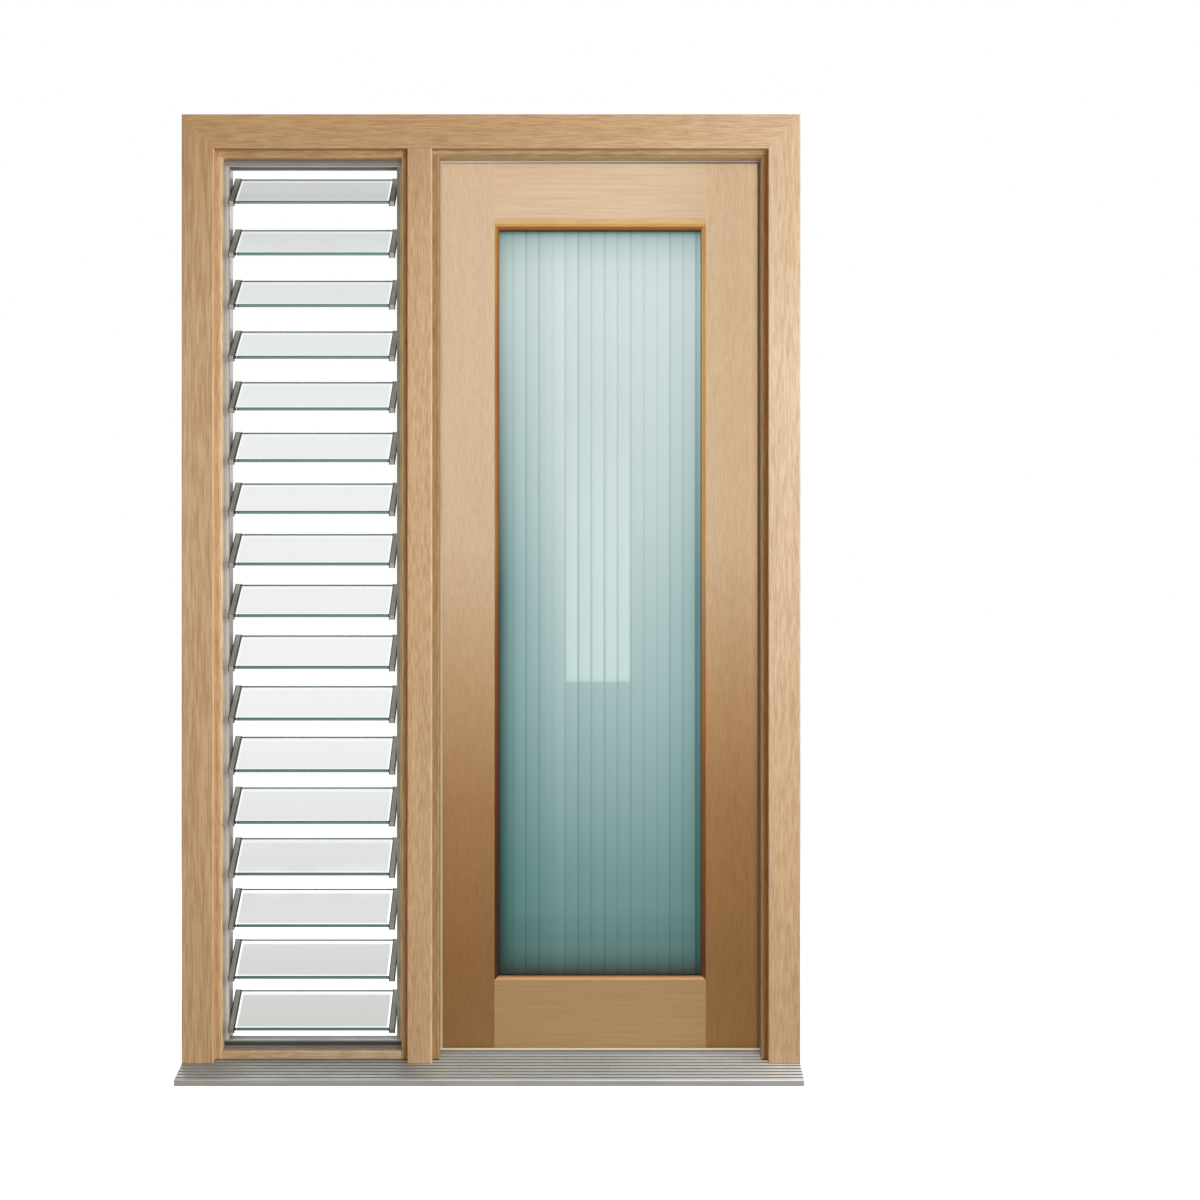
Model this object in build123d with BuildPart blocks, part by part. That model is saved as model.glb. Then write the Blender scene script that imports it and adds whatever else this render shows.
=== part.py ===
from build123d import *
import os
from math import atan, cos, degrees, radians, sin

# Timber entrance unit: a glazed door leaf and a louvre sidelight in one frame.
# X runs to the right seen from outside, Y into the building, Z up, all in millimetres.
# The origin lies on the underside of the sill, mid width, below the outer face of the frame.

# Door leaf
leaf_width = 750.0
leaf_height = 2040.0
leaf_thickness = 40.0
stile_width = 133.0
top_rail_height = 140.0
bottom_rail_height = 155.0
leading_edge_bevel = 1.6
leaf_arris = 1.5
tenon_length = 60.0
tenon_thickness = 13.0
tenon_haunch = 25.0
tenon_clearance = 0.2

# Reeded pane, the lip behind it and the beads in front
lip_width = 10.0
lip_depth = 15.0
glass_thickness = 8.0
glass_edge_clearance = 3.0
glass_seat_gap = 0.3
reed_pitch = 30.1
reed_height = 0.7
reed_first_valley = 8.2
bead_width = 10.0
bead_setback = 2.0
bead_fall = 8.0
top_bead_band = 11.0
top_bead_bevel = 15.0

# Timber frame
jamb_face = 72.0
head_face = 77.0
mullion_face = 55.0
louvre_bay_width = 437.0
screen_rebate = 28.0
stop_projection = 15.0
door_stop_depth = 51.0
stop_arris = 3.0
timber_arris = 3.0
mitre_gap = 0.2
louvre_rail_height = 19.5

# Running gaps round the leaf, and the weather seal on the stops
leaf_side_gap = 5.0
leaf_head_gap = 5.0
leaf_sill_gap = 5.0
seal_thickness = 4.0
seal_lip = 4.5
seal_land = 9.0
seal_to_leaf = 5.0

# Aluminium sill and the weather bar on it
sill_projection = 97.0
sill_nose_height = 14.5
sill_nose_radius = 3.0
sill_inner_height = 46.0
sill_skin = 3.0
sill_nose_solid = 22.0
sill_chambers = 3
groove_pitch = 18.5
groove_width = 7.0
groove_depth = 2.0
groove_margin = 10.0
weather_bar_thickness = 7.0
weather_bar_cover = 2.0
weather_bar_arris = 1.0

# Aluminium louvre gallery
gallery_projection = 13.0
gallery_depth = 50.0
gallery_setback = 30.0
gallery_wall = 2.5
gallery_lip = 8.0
gallery_head_height = 17.0
gallery_sill_height = 20.5
gallery_groove_base = 7.0
gallery_groove_height = 9.0
gallery_groove_depth = 4.0

# Louvre blades and their holders
blade_count = 17
blade_width = 133.5
blade_thickness = 6.0
blade_arris = 0.6
blade_tilt = 31.6
blade_gap_below = 25.0
blade_gap_above = 14.0
blade_end_gap = 0.3
blade_side_gap = 0.2
clip_wall = 1.5
clip_grip = 12.5
clip_gap = 1.5
clip_tab = 2.5
clip_lip = 3.0
clip_boss_radius = 7.0
clip_boss_sides = 8
clip_boss_clearance = 0.2
clip_boss_reach = 3.0

# Butt hinges on the inside
hinge_height = 100.0
hinge_plate_width = 32.0
hinge_plate_thickness = 2.5
hinge_plate_clearance = 0.3
hinge_top_offset = 200.0
hinge_bottom_offset = 275.0
knuckle_count = 5
knuckle_gap = 0.4
knuckle_radius = 6.5
knuckle_standoff = 1.5
pin_radius = 3.0
pin_clearance = 0.05
pin_head_radius = 5.0
pin_head_height = 3.0

# Room for picking edges by position
pick = 0.01

# Depths, from the outer face of the frame inward
stop_front = screen_rebate
door_stop_back = stop_front + door_stop_depth
leaf_front = door_stop_back + seal_thickness + seal_to_leaf
leaf_back = leaf_front + leaf_thickness
lip_front = leaf_back - lip_depth
frame_depth = leaf_back

# Heights
leaf_bottom = sill_inner_height + leaf_sill_gap
leaf_top = leaf_bottom + leaf_height
head_underside = leaf_top + leaf_head_gap
frame_height = head_underside + head_face
pane_sill = leaf_bottom + bottom_rail_height
pane_head = leaf_top - top_rail_height

# Places across the width
doorway_width = leaf_width + 2 * leaf_side_gap
frame_width = 2 * jamb_face + louvre_bay_width + mullion_face + doorway_width
frame_left = -frame_width / 2
frame_right = frame_width / 2
bay_left = frame_left + jamb_face
bay_right = bay_left + louvre_bay_width
doorway_left = bay_right + mullion_face
doorway_right = doorway_left + doorway_width
leaf_left = doorway_left + leaf_side_gap
leaf_right = doorway_right - leaf_side_gap
pane_left = leaf_left + stile_width
pane_right = leaf_right - stile_width

# Slope of the sill, from its nose up to the line of the leaf
sill_fall = (sill_inner_height - sill_nose_height) / (leaf_front + sill_projection)
sill_pitch = degrees(atan(sill_fall))
sill_envelope = [
    (-sill_projection, 0),
    (-sill_projection, sill_nose_height),
    (leaf_front, sill_inner_height),
    (frame_depth, sill_inner_height),
    (frame_depth, 0),
]


def sill_top(y):
    """Height of the sloping top of the sill at a depth in front of the leaf."""
    return sill_nose_height + sill_fall * (y + sill_projection)


# Louvre opening
lining_left = bay_left + stop_projection
lining_right = bay_right - stop_projection
gallery_front = stop_front + gallery_setback
gallery_back = gallery_front + gallery_depth
gallery_middle = gallery_front + gallery_depth / 2
louvre_rail_top = sill_top(stop_front) + louvre_rail_height
gallery_bottom = louvre_rail_top + gallery_sill_height
gallery_top = head_underside - stop_projection - gallery_head_height
blade_rise = blade_width * sin(radians(blade_tilt)) + blade_thickness * cos(radians(blade_tilt))
first_blade = gallery_bottom + blade_gap_below + blade_rise / 2
last_blade = gallery_top - blade_gap_above - blade_rise / 2
blade_pitch = (last_blade - first_blade) / (blade_count - 1)
blade_along = Vector(0, cos(radians(blade_tilt)), sin(radians(blade_tilt)))

# Hinge line
hinge_x = (leaf_right + doorway_right) / 2
hinge_y = frame_depth + knuckle_standoff + knuckle_radius
hinge_low = leaf_bottom + hinge_bottom_offset
hinge_high = leaf_top - hinge_top_offset
hinge_heights = [hinge_low, (hinge_low + hinge_high) / 2, hinge_high]
hinge_plate_front = frame_depth - hinge_plate_width
knuckle_height = (hinge_height - (knuckle_count - 1) * knuckle_gap) / knuckle_count

os.makedirs("parts", exist_ok=True)


def write(piece, node):
    piece.label = node
    export_step(piece, f"parts/{node}.step")


def mitre_plane(start, end):
    """Upright plane through two points of the front view, each given as (x, z)."""
    run = Vector(end[0] - start[0], 0, end[1] - start[1])
    return Plane(origin=(start[0], 0, start[1]), x_dir=run, z_dir=run.cross(Vector(0, 1, 0)))


# Sill: ribbed sloping extrusion with hollow chambers
with BuildPart() as sill:
    with BuildSketch(Plane.YZ.offset(frame_left)) as sill_section:
        Polygon(*sill_envelope, align=None)
        nose = sill_section.vertices().group_by(Axis.X)[0].sort_by(Axis.Y)[-1]
        fillet(nose, sill_nose_radius)
        groove_start = groove_margin + groove_width / 2 - sill_projection
        groove_end = door_stop_back - weather_bar_thickness - groove_width
        groove_count = int((groove_end - groove_start) / groove_pitch) + 1
        for i in range(groove_count):
            groove_y = groove_start + i * groove_pitch
            with Locations((groove_y, sill_top(groove_y))):
                Rectangle(groove_width, 2 * groove_depth, rotation=sill_pitch, mode=Mode.SUBTRACT)
        chamber_start = sill_nose_solid - sill_projection
        chamber_step = (leaf_front + sill_skin / 2 - chamber_start) / sill_chambers
        roof_skin = groove_depth + sill_skin
        for i in range(sill_chambers):
            near = chamber_start + i * chamber_step
            far = near + chamber_step - sill_skin
            Polygon(
                (near, sill_skin),
                (far, sill_skin),
                (far, sill_top(far) - roof_skin),
                (near, sill_top(near) - roof_skin),
                align=None,
                mode=Mode.SUBTRACT,
            )
        Polygon(
            (leaf_front + sill_skin / 2, sill_skin),
            (frame_depth - sill_skin, sill_skin),
            (frame_depth - sill_skin, sill_inner_height - sill_skin),
            (leaf_front + sill_skin / 2, sill_inner_height - sill_skin),
            align=None,
            mode=Mode.SUBTRACT,
        )
    extrude(amount=frame_width)
write(sill.part, "sill")

# Weather bar: upright strip on the sill, between the two door stops
bar_front = door_stop_back - weather_bar_thickness
bar_top = leaf_bottom + weather_bar_cover
with BuildPart() as weather_bar:
    with BuildSketch(Plane.YZ.offset(doorway_left + stop_projection)):
        Polygon(
            (bar_front, sill_top(bar_front)),
            (door_stop_back, sill_top(door_stop_back)),
            (door_stop_back, bar_top),
            (bar_front, bar_top),
            align=None,
        )
    extrude(amount=doorway_width - 2 * stop_projection)
    chamfer(weather_bar.edges().filter_by(Axis.X).group_by(Axis.Z)[-1], weather_bar_arris)
write(weather_bar.part, "weather_bar")


def hinge_pockets(x_low, x_high):
    """Room for the hinge plates in the edge between two X places."""
    tall = hinge_height + 2 * hinge_plate_clearance
    near = hinge_plate_front - hinge_plate_clearance
    with BuildPart() as pockets:
        for height in hinge_heights:
            with BuildSketch(Plane.XY.offset(height - tall / 2)):
                Polygon(
                    (x_low, near), (x_high, near), (x_high, frame_depth), (x_low, frame_depth), align=None
                )
            extrude(amount=tall)
    return pockets.part


def jamb(outer, inner, pockets=None):
    """Upright post, mitred to the head and cut to the slope of the sill."""
    with BuildPart() as post:
        with BuildSketch(Plane.XZ):
            Polygon(
                (outer, 0), (outer, frame_height), (inner, head_underside), (inner, 0), align=None
            )
        extrude(amount=-frame_depth)
        fillet(post.edges().filter_by(Axis.Z), timber_arris)
        with BuildSketch(Plane.YZ.offset(min(outer, inner))):
            Polygon(*sill_envelope, align=None)
        extrude(amount=jamb_face, mode=Mode.SUBTRACT)
        if pockets:
            add(pockets, mode=Mode.SUBTRACT)
    return post.part


jamb_pockets = hinge_pockets(doorway_right, doorway_right + hinge_plate_thickness)
write(jamb(frame_left, bay_left), "jamb_left")
write(jamb(frame_right, doorway_right, jamb_pockets), "jamb_right")

# Head: the mitred beam across both bays
with BuildPart() as head:
    with BuildSketch(Plane.XZ):
        Polygon(
            (frame_left, frame_height),
            (frame_right, frame_height),
            (doorway_right, head_underside),
            (bay_left, head_underside),
            align=None,
        )
    extrude(amount=-frame_depth)
    fillet(head.edges().filter_by(Axis.X), timber_arris)
write(head.part, "head")

# Mullion: the post between louvre and door, butted under the head
with BuildPart() as mullion:
    with BuildSketch(Plane.XZ):
        Polygon(
            (bay_right, 0),
            (bay_right, head_underside),
            (doorway_left, head_underside),
            (doorway_left, 0),
            align=None,
        )
    extrude(amount=-frame_depth)
    fillet(mullion.edges().filter_by(Axis.Z), timber_arris)
    with BuildSketch(Plane.YZ.offset(bay_right)):
        Polygon(*sill_envelope, align=None)
    extrude(amount=mullion_face, mode=Mode.SUBTRACT)
write(mullion.part, "mullion")


def planted_stops(left, right, depth):
    """Two uprights and a head piece, mitred, lining an opening between two posts."""
    inner_left = left + stop_projection
    inner_right = right - stop_projection
    inner_top = head_underside - stop_projection
    with BuildPart() as stops:
        with BuildSketch(Plane.XZ.offset(-stop_front)):
            Polygon(
                (left, 0), (left, head_underside), (inner_left, inner_top), (inner_left, 0), align=None
            )
            Polygon(
                (right, 0), (right, head_underside), (inner_right, inner_top), (inner_right, 0), align=None
            )
            Polygon(
                (left + mitre_gap, head_underside),
                (right - mitre_gap, head_underside),
                (inner_right - mitre_gap, inner_top),
                (inner_left + mitre_gap, inner_top),
                align=None,
            )
        extrude(amount=-depth)
        front_edges = stops.edges().filter_by_position(Axis.Y, stop_front - pick, stop_front + pick)
        inner_edges = front_edges.filter_by_position(Axis.X, inner_left - pick, inner_right + pick)
        fillet(inner_edges.filter_by_position(Axis.Z, 0, inner_top + pick), stop_arris)
        with BuildSketch(Plane.YZ.offset(left)):
            Polygon(*sill_envelope, align=None)
        extrude(amount=right - left, mode=Mode.SUBTRACT)
    return stops.part


write(planted_stops(doorway_left, doorway_right, door_stop_depth), "door_stops")
write(planted_stops(bay_left, bay_right, frame_depth - stop_front), "louvre_stops")

# Louvre rail: timber sill of the sidelight, scribed to the slope
with BuildPart() as louvre_sill_rail:
    with BuildSketch(Plane.YZ.offset(lining_left)):
        Polygon(
            (stop_front, sill_top(stop_front)),
            (leaf_front, sill_inner_height),
            (frame_depth, sill_inner_height),
            (frame_depth, louvre_rail_top),
            (stop_front, louvre_rail_top),
            align=None,
        )
    extrude(amount=lining_right - lining_left)
    fillet(louvre_sill_rail.edges().filter_by(Axis.X).group_by(Axis.Z)[-1], stop_arris)
write(louvre_sill_rail.part, "louvre_sill_rail")

# Weather seal: three strips on the backs of the door stops
seal_left = doorway_left + stop_projection
seal_right = doorway_right - stop_projection
seal_top = head_underside - stop_projection
with BuildPart() as weather_seal:
    with BuildSketch(Plane.XZ.offset(-door_stop_back)):
        for edge, side in ((seal_left, 1), (seal_right, -1)):
            Polygon(
                (edge - side * seal_land, sill_inner_height),
                (edge + side * seal_lip, sill_inner_height),
                (edge + side * seal_lip, seal_top - seal_lip - mitre_gap),
                (edge - side * seal_land, seal_top - seal_lip - mitre_gap),
                align=None,
            )
        Polygon(
            (seal_left - seal_land, seal_top - seal_lip),
            (seal_right + seal_land, seal_top - seal_lip),
            (seal_right + seal_land, seal_top + seal_land),
            (seal_left - seal_land, seal_top + seal_land),
            align=None,
        )
    extrude(amount=-seal_thickness)
write(weather_seal.part, "weather_seal")


def gallery_post(face, side):
    """Channel lipped on the lining, with a hole in its face for the boss of each holder."""
    web = face + side * (gallery_projection - gallery_wall)
    with BuildPart() as post:
        with BuildSketch(Plane.XY.offset(gallery_bottom)):
            with Locations((face + side * gallery_projection / 2, gallery_middle)):
                Rectangle(gallery_projection, gallery_depth)
                Rectangle(
                    gallery_projection - 2 * gallery_wall,
                    gallery_depth - 2 * gallery_wall,
                    mode=Mode.SUBTRACT,
                )
            with Locations((face + side * gallery_wall / 2, gallery_middle)):
                Rectangle(gallery_wall, gallery_depth - 2 * gallery_lip, mode=Mode.SUBTRACT)
        extrude(amount=gallery_top - gallery_bottom)
        for i in range(blade_count):
            pivot = (web, gallery_middle, first_blade + i * blade_pitch)
            with BuildSketch(Plane(origin=pivot, x_dir=blade_along, z_dir=(side, 0, 0))):
                RegularPolygon(clip_boss_radius + clip_boss_clearance, clip_boss_sides)
            extrude(amount=gallery_wall, mode=Mode.SUBTRACT)
    return post.part


write(gallery_post(lining_left, 1), "gallery_left")
write(gallery_post(lining_right, -1), "gallery_right")


def gallery_rail(seat, rim, front_wall, groove=None):
    """Trough across the sidelight, its web on the timber, with a groove along the front flange if asked."""
    turn = 1 if rim > seat else -1
    with BuildPart() as rail:
        with BuildSketch(Plane.YZ.offset(lining_left)):
            Polygon(
                (gallery_front, seat), (gallery_back, seat), (gallery_back, rim), (gallery_front, rim),
                align=None,
            )
            Polygon(
                (gallery_front + front_wall, seat + turn * gallery_wall),
                (gallery_back - gallery_wall, seat + turn * gallery_wall),
                (gallery_back - gallery_wall, rim),
                (gallery_front + front_wall, rim),
                align=None,
                mode=Mode.SUBTRACT,
            )
            if groove:
                low, high = groove
                with Locations((gallery_front + gallery_groove_depth / 2, (low + high) / 2)):
                    Rectangle(gallery_groove_depth, high - low, mode=Mode.SUBTRACT)
        extrude(amount=lining_right - lining_left)
    return rail.part


groove_low = louvre_rail_top + gallery_groove_base
sill_groove = (groove_low, groove_low + gallery_groove_height)
sill_front_wall = gallery_wall + gallery_groove_depth
write(gallery_rail(gallery_top + gallery_head_height, gallery_top, gallery_wall), "gallery_head")
write(gallery_rail(louvre_rail_top, gallery_bottom, sill_front_wall, sill_groove), "gallery_sill")

# Louvre blades: one glass slat with ground edges for each pair of holders
clip_left = lining_left + gallery_projection + clip_gap
clip_right = lining_right - gallery_projection - clip_gap
blade_left = clip_left + clip_wall + blade_end_gap
blade_right = clip_right - clip_wall - blade_end_gap
for i in range(blade_count):
    pivot = (blade_left, gallery_middle, first_blade + i * blade_pitch)
    with BuildPart() as blade:
        with BuildSketch(Plane(origin=pivot, x_dir=blade_along, z_dir=(1, 0, 0))) as blade_section:
            Rectangle(blade_width, blade_thickness)
            chamfer(blade_section.vertices(), blade_arris)
        extrude(amount=blade_right - blade_left)
    write(blade.part, f"louvre_blade_{i + 1:02d}")


def blade_clips(outer, side):
    """Folded holders that grip one end of every blade, with a toe in front and a boss in the gallery."""
    clip_width = clip_wall + clip_grip
    slot_height = blade_thickness + 2 * blade_side_gap
    clip_height = slot_height + 2 * clip_wall
    front_end = blade_width / 2 + blade_side_gap
    boss_length = clip_gap + gallery_wall + clip_boss_reach
    with BuildPart() as clips:
        for i in range(blade_count):
            pivot = Vector(outer, gallery_middle, first_blade + i * blade_pitch)
            across = Plane(origin=pivot, x_dir=(side, 0, 0), z_dir=blade_along)
            with BuildSketch(across.offset(-front_end)):
                with Locations((clip_width / 2, 0)):
                    Rectangle(clip_width, clip_height)
                with Locations((clip_wall + clip_grip / 2, 0)):
                    Rectangle(clip_grip, slot_height, mode=Mode.SUBTRACT)
            extrude(amount=front_end + blade_width / 2)
            with BuildSketch(across.offset(-front_end - clip_tab)):
                with Locations((clip_width / 2, side * clip_lip / 2)):
                    Rectangle(clip_width, clip_height + clip_lip)
            extrude(amount=clip_tab)
            with BuildSketch(Plane(origin=pivot, x_dir=blade_along, z_dir=(-side, 0, 0))):
                RegularPolygon(clip_boss_radius, clip_boss_sides)
            extrude(amount=boss_length)
    return clips.part


write(blade_clips(clip_left, 1), "louvre_clips_left")
write(blade_clips(clip_right, -1), "louvre_clips_right")


def stile(outer, side, edge_bevel, pockets=None):
    """Upright of the leaf: glazing lip at the back, mortises for both rails."""
    inner = outer + side * stile_width
    rails = [
        (leaf_bottom + tenon_haunch, pane_sill - leaf_arris),
        (pane_head + leaf_arris, leaf_top - tenon_haunch),
    ]
    tenon_middle = (leaf_front + lip_front) / 2
    mortise_depth = tenon_length + tenon_clearance
    with BuildPart() as upright:
        with BuildSketch(Plane.XY.offset(leaf_bottom)):
            Polygon(
                (outer + side * edge_bevel, leaf_front),
                (inner, leaf_front),
                (inner, lip_front),
                (inner + side * lip_width, lip_front),
                (inner + side * lip_width, leaf_back),
                (outer, leaf_back),
                align=None,
            )
        extrude(amount=leaf_height)
        lip_edge = inner + side * lip_width
        back_edges = upright.edges().filter_by(Axis.Z).filter_by_position(
            Axis.Y, leaf_back - pick, leaf_back + pick
        )
        chamfer(back_edges.filter_by_position(Axis.X, lip_edge - pick, lip_edge + pick), leaf_arris)
        for low, high in rails:
            with BuildSketch(Plane.XY.offset(low - tenon_clearance)):
                with Locations((inner - side * mortise_depth / 2, tenon_middle)):
                    Rectangle(mortise_depth, tenon_thickness + 2 * tenon_clearance)
            extrude(amount=high - low + 2 * tenon_clearance, mode=Mode.SUBTRACT)
        if pockets:
            add(pockets, mode=Mode.SUBTRACT)
    return upright.part


stile_pockets = hinge_pockets(leaf_right - hinge_plate_thickness, leaf_right)
write(stile(leaf_left, 1, leading_edge_bevel), "stile_lock")
write(stile(leaf_right, -1, 0, stile_pockets), "stile_hinge")


def rail(low, high, lip_edge):
    """Cross piece of the leaf: coped over the lips of the stiles, with a tenon at each end."""
    pane_edge = high if lip_edge > high else low
    tenon_low = low + (tenon_haunch if pane_edge == high else leaf_arris)
    tenon_high = high - (tenon_haunch if pane_edge == low else leaf_arris)
    tenon_middle = (leaf_front + lip_front) / 2
    with BuildPart() as cross:
        with BuildSketch(Plane.YZ.offset(pane_left)):
            Polygon(
                (leaf_front, low), (leaf_front, high), (leaf_back, high), (leaf_back, low), align=None
            )
            Polygon(
                (lip_front, pane_edge),
                (lip_front, lip_edge),
                (leaf_back, lip_edge),
                (leaf_back, pane_edge),
                align=None,
            )
        extrude(amount=pane_right - pane_left)
        lip_edges = cross.edges().filter_by(Axis.X).filter_by_position(
            Axis.Z, lip_edge - pick, lip_edge + pick
        )
        chamfer(lip_edges.sort_by(Axis.Y)[-1], leaf_arris)
        cope_low = min(low, lip_edge)
        cope_high = max(high, lip_edge)
        with BuildSketch(Plane.XY.offset(cope_low)):
            for end, side in ((pane_left, 1), (pane_right, -1)):
                with Locations((end + side * lip_width / 2, leaf_back - lip_depth / 2)):
                    Rectangle(lip_width, lip_depth)
        extrude(amount=cope_high - cope_low, mode=Mode.SUBTRACT)
        with BuildSketch(Plane.XY.offset(tenon_low)):
            for end, side in ((pane_left, 1), (pane_right, -1)):
                with Locations((end - side * tenon_length / 2, tenon_middle)):
                    Rectangle(tenon_length, tenon_thickness)
        extrude(amount=tenon_high - tenon_low)
    return cross.part


write(rail(pane_head, leaf_top, pane_head - lip_width), "rail_top")
write(rail(leaf_bottom, pane_sill, pane_sill + lip_width), "rail_bottom")

# Reeded pane: shallow round reeds side by side on the outer face
glass_back = lip_front - glass_seat_gap
glass_front = glass_back - glass_thickness
reed_valley = glass_front + reed_height
glass_left = pane_left + glass_edge_clearance
glass_right = pane_right - glass_edge_clearance
glass_low = pane_sill + glass_edge_clearance
glass_high = pane_head - glass_edge_clearance
reed_start = glass_left + reed_first_valley
reed_count = int((glass_right - reed_start) / reed_pitch)
with BuildPart() as reeded_glass:
    with BuildSketch(Plane.XY.offset(glass_low)):
        with BuildLine():
            for i in range(reed_count):
                reed_left = reed_start + i * reed_pitch
                ThreePointArc(
                    (reed_left, reed_valley),
                    (reed_left + reed_pitch / 2, glass_front),
                    (reed_left + reed_pitch, reed_valley),
                )
            Polyline(
                (reed_start + reed_count * reed_pitch, reed_valley),
                (glass_right, reed_valley),
                (glass_right, glass_back),
                (glass_left, glass_back),
                (glass_left, reed_valley),
                (reed_start, reed_valley),
            )
        make_face()
    extrude(amount=glass_high - glass_low)
write(reeded_glass.part, "reeded_glass")

# Outside beads, bevelled towards the glass and mitred at the corners
bead_front = leaf_front + bead_setback
bead_back = glass_front - glass_seat_gap
bead_toe = bead_front + bead_fall
bead_shoulder = pane_head - top_bead_band
bead_sight = bead_shoulder - top_bead_bevel
sight_left = pane_left + bead_width
sight_right = pane_right - bead_width
low_left_mitre = mitre_plane((pane_left, pane_sill), (sight_left, pane_sill + bead_width))
low_right_mitre = mitre_plane((pane_right, pane_sill), (sight_right, pane_sill + bead_width))
high_left_mitre = mitre_plane((pane_left, bead_shoulder), (sight_left, bead_sight))
high_right_mitre = mitre_plane((pane_right, bead_shoulder), (sight_right, bead_sight))


def side_bead(edge, sight, low_mitre, low_keep, high_mitre, high_keep):
    """Upright bead between the bottom and the top bead."""
    with BuildPart() as bead:
        with BuildSketch(Plane.XY.offset(pane_sill)):
            Polygon(
                (edge, bead_front), (sight, bead_toe), (sight, bead_back), (edge, bead_back), align=None
            )
        extrude(amount=bead_shoulder - pane_sill)
        split(bisect_by=low_mitre, keep=low_keep)
        split(bisect_by=high_mitre, keep=high_keep)
    return bead.part


write(
    side_bead(pane_left, sight_left, low_left_mitre, Keep.TOP, high_left_mitre, Keep.BOTTOM),
    "bead_lock_side",
)
write(
    side_bead(pane_right, sight_right, low_right_mitre, Keep.BOTTOM, high_right_mitre, Keep.TOP),
    "bead_hinge_side",
)

with BuildPart() as bead_bottom:
    with BuildSketch(Plane.YZ.offset(pane_left)):
        Polygon(
            (bead_front, pane_sill),
            (bead_back, pane_sill),
            (bead_back, pane_sill + bead_width),
            (bead_toe, pane_sill + bead_width),
            align=None,
        )
    extrude(amount=pane_right - pane_left)
    split(bisect_by=low_left_mitre, keep=Keep.BOTTOM)
    split(bisect_by=low_right_mitre, keep=Keep.TOP)
write(bead_bottom.part, "bead_bottom")

with BuildPart() as bead_top:
    with BuildSketch(Plane.YZ.offset(pane_left)):
        Polygon(
            (bead_front, pane_head),
            (bead_back, pane_head),
            (bead_back, bead_sight),
            (bead_toe, bead_sight),
            (bead_front, bead_shoulder),
            align=None,
        )
    extrude(amount=pane_right - pane_left)
    split(bisect_by=high_left_mitre, keep=Keep.TOP)
    split(bisect_by=high_right_mitre, keep=Keep.BOTTOM)
write(bead_top.part, "bead_top")


def hinge_plates(edge, side, first_knuckle):
    """One half of every hinge: a plate let into an edge and every second knuckle."""
    plate_back = frame_depth - hinge_plate_clearance
    neck_back = hinge_y - pin_radius - pin_clearance
    with BuildPart() as plates:
        for height in hinge_heights:
            bottom = height - hinge_height / 2
            with BuildSketch(Plane.XY.offset(bottom)):
                Polygon(
                    (edge, hinge_plate_front),
                    (edge + side * hinge_plate_thickness, hinge_plate_front),
                    (edge + side * hinge_plate_thickness, plate_back),
                    (edge, plate_back),
                    align=None,
                )
            extrude(amount=hinge_height)
            for number in range(first_knuckle, knuckle_count, 2):
                knuckle_bottom = bottom + number * (knuckle_height + knuckle_gap)
                with BuildSketch(Plane.XY.offset(knuckle_bottom)):
                    with Locations((hinge_x, hinge_y)):
                        Circle(knuckle_radius)
                    Polygon(
                        (edge, plate_back - hinge_plate_thickness),
                        (edge + side * hinge_plate_thickness, plate_back - hinge_plate_thickness),
                        (edge + side * hinge_plate_thickness, neck_back),
                        (edge, neck_back),
                        align=None,
                    )
                    with Locations((hinge_x, hinge_y)):
                        Circle(pin_radius + pin_clearance, mode=Mode.SUBTRACT)
                extrude(amount=knuckle_height)
    return plates.part


write(hinge_plates(doorway_right, 1, 0), "hinge_frame_plates")
write(hinge_plates(leaf_right, -1, 1), "hinge_door_plates")

# Hinge pins: one in each barrel, with a button head at both ends
with BuildPart() as hinge_pins:
    for height in hinge_heights:
        bottom = height - hinge_height / 2
        for level, radius, length in (
            (bottom - pin_head_height, pin_head_radius, pin_head_height),
            (bottom, pin_radius, hinge_height),
            (bottom + hinge_height, pin_head_radius, pin_head_height),
        ):
            with BuildSketch(Plane.XY.offset(level)):
                with Locations((hinge_x, hinge_y)):
                    Circle(radius)
            extrude(amount=length)
write(hinge_pins.part, "hinge_pins")
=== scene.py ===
from math import cos, pi, radians, sin

import bmesh
import bpy
from mathutils import Matrix, Vector


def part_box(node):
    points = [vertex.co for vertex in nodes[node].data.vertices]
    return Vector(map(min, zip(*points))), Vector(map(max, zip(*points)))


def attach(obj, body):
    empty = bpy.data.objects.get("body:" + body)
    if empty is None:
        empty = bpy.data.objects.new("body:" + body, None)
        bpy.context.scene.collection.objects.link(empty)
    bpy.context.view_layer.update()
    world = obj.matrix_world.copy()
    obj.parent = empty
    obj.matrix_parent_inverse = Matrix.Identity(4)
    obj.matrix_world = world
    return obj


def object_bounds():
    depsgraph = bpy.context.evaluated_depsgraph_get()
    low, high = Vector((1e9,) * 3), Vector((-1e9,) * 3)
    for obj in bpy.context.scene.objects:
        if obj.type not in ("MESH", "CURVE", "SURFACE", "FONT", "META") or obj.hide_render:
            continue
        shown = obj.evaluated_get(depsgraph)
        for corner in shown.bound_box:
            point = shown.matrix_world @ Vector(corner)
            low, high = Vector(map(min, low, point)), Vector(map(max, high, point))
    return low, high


# Looks for a timber entrance unit: a door leaf with a reeded pane beside a louvre sidelight.
# Everything is in metres, X to the right seen from outside, Y into the building, Z up.
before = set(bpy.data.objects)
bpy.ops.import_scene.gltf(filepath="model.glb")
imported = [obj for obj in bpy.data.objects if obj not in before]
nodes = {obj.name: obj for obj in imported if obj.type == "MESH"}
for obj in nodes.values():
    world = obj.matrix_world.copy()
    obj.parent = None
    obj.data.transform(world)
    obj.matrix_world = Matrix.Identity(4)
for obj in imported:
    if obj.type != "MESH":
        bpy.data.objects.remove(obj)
cad_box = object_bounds()

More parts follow.
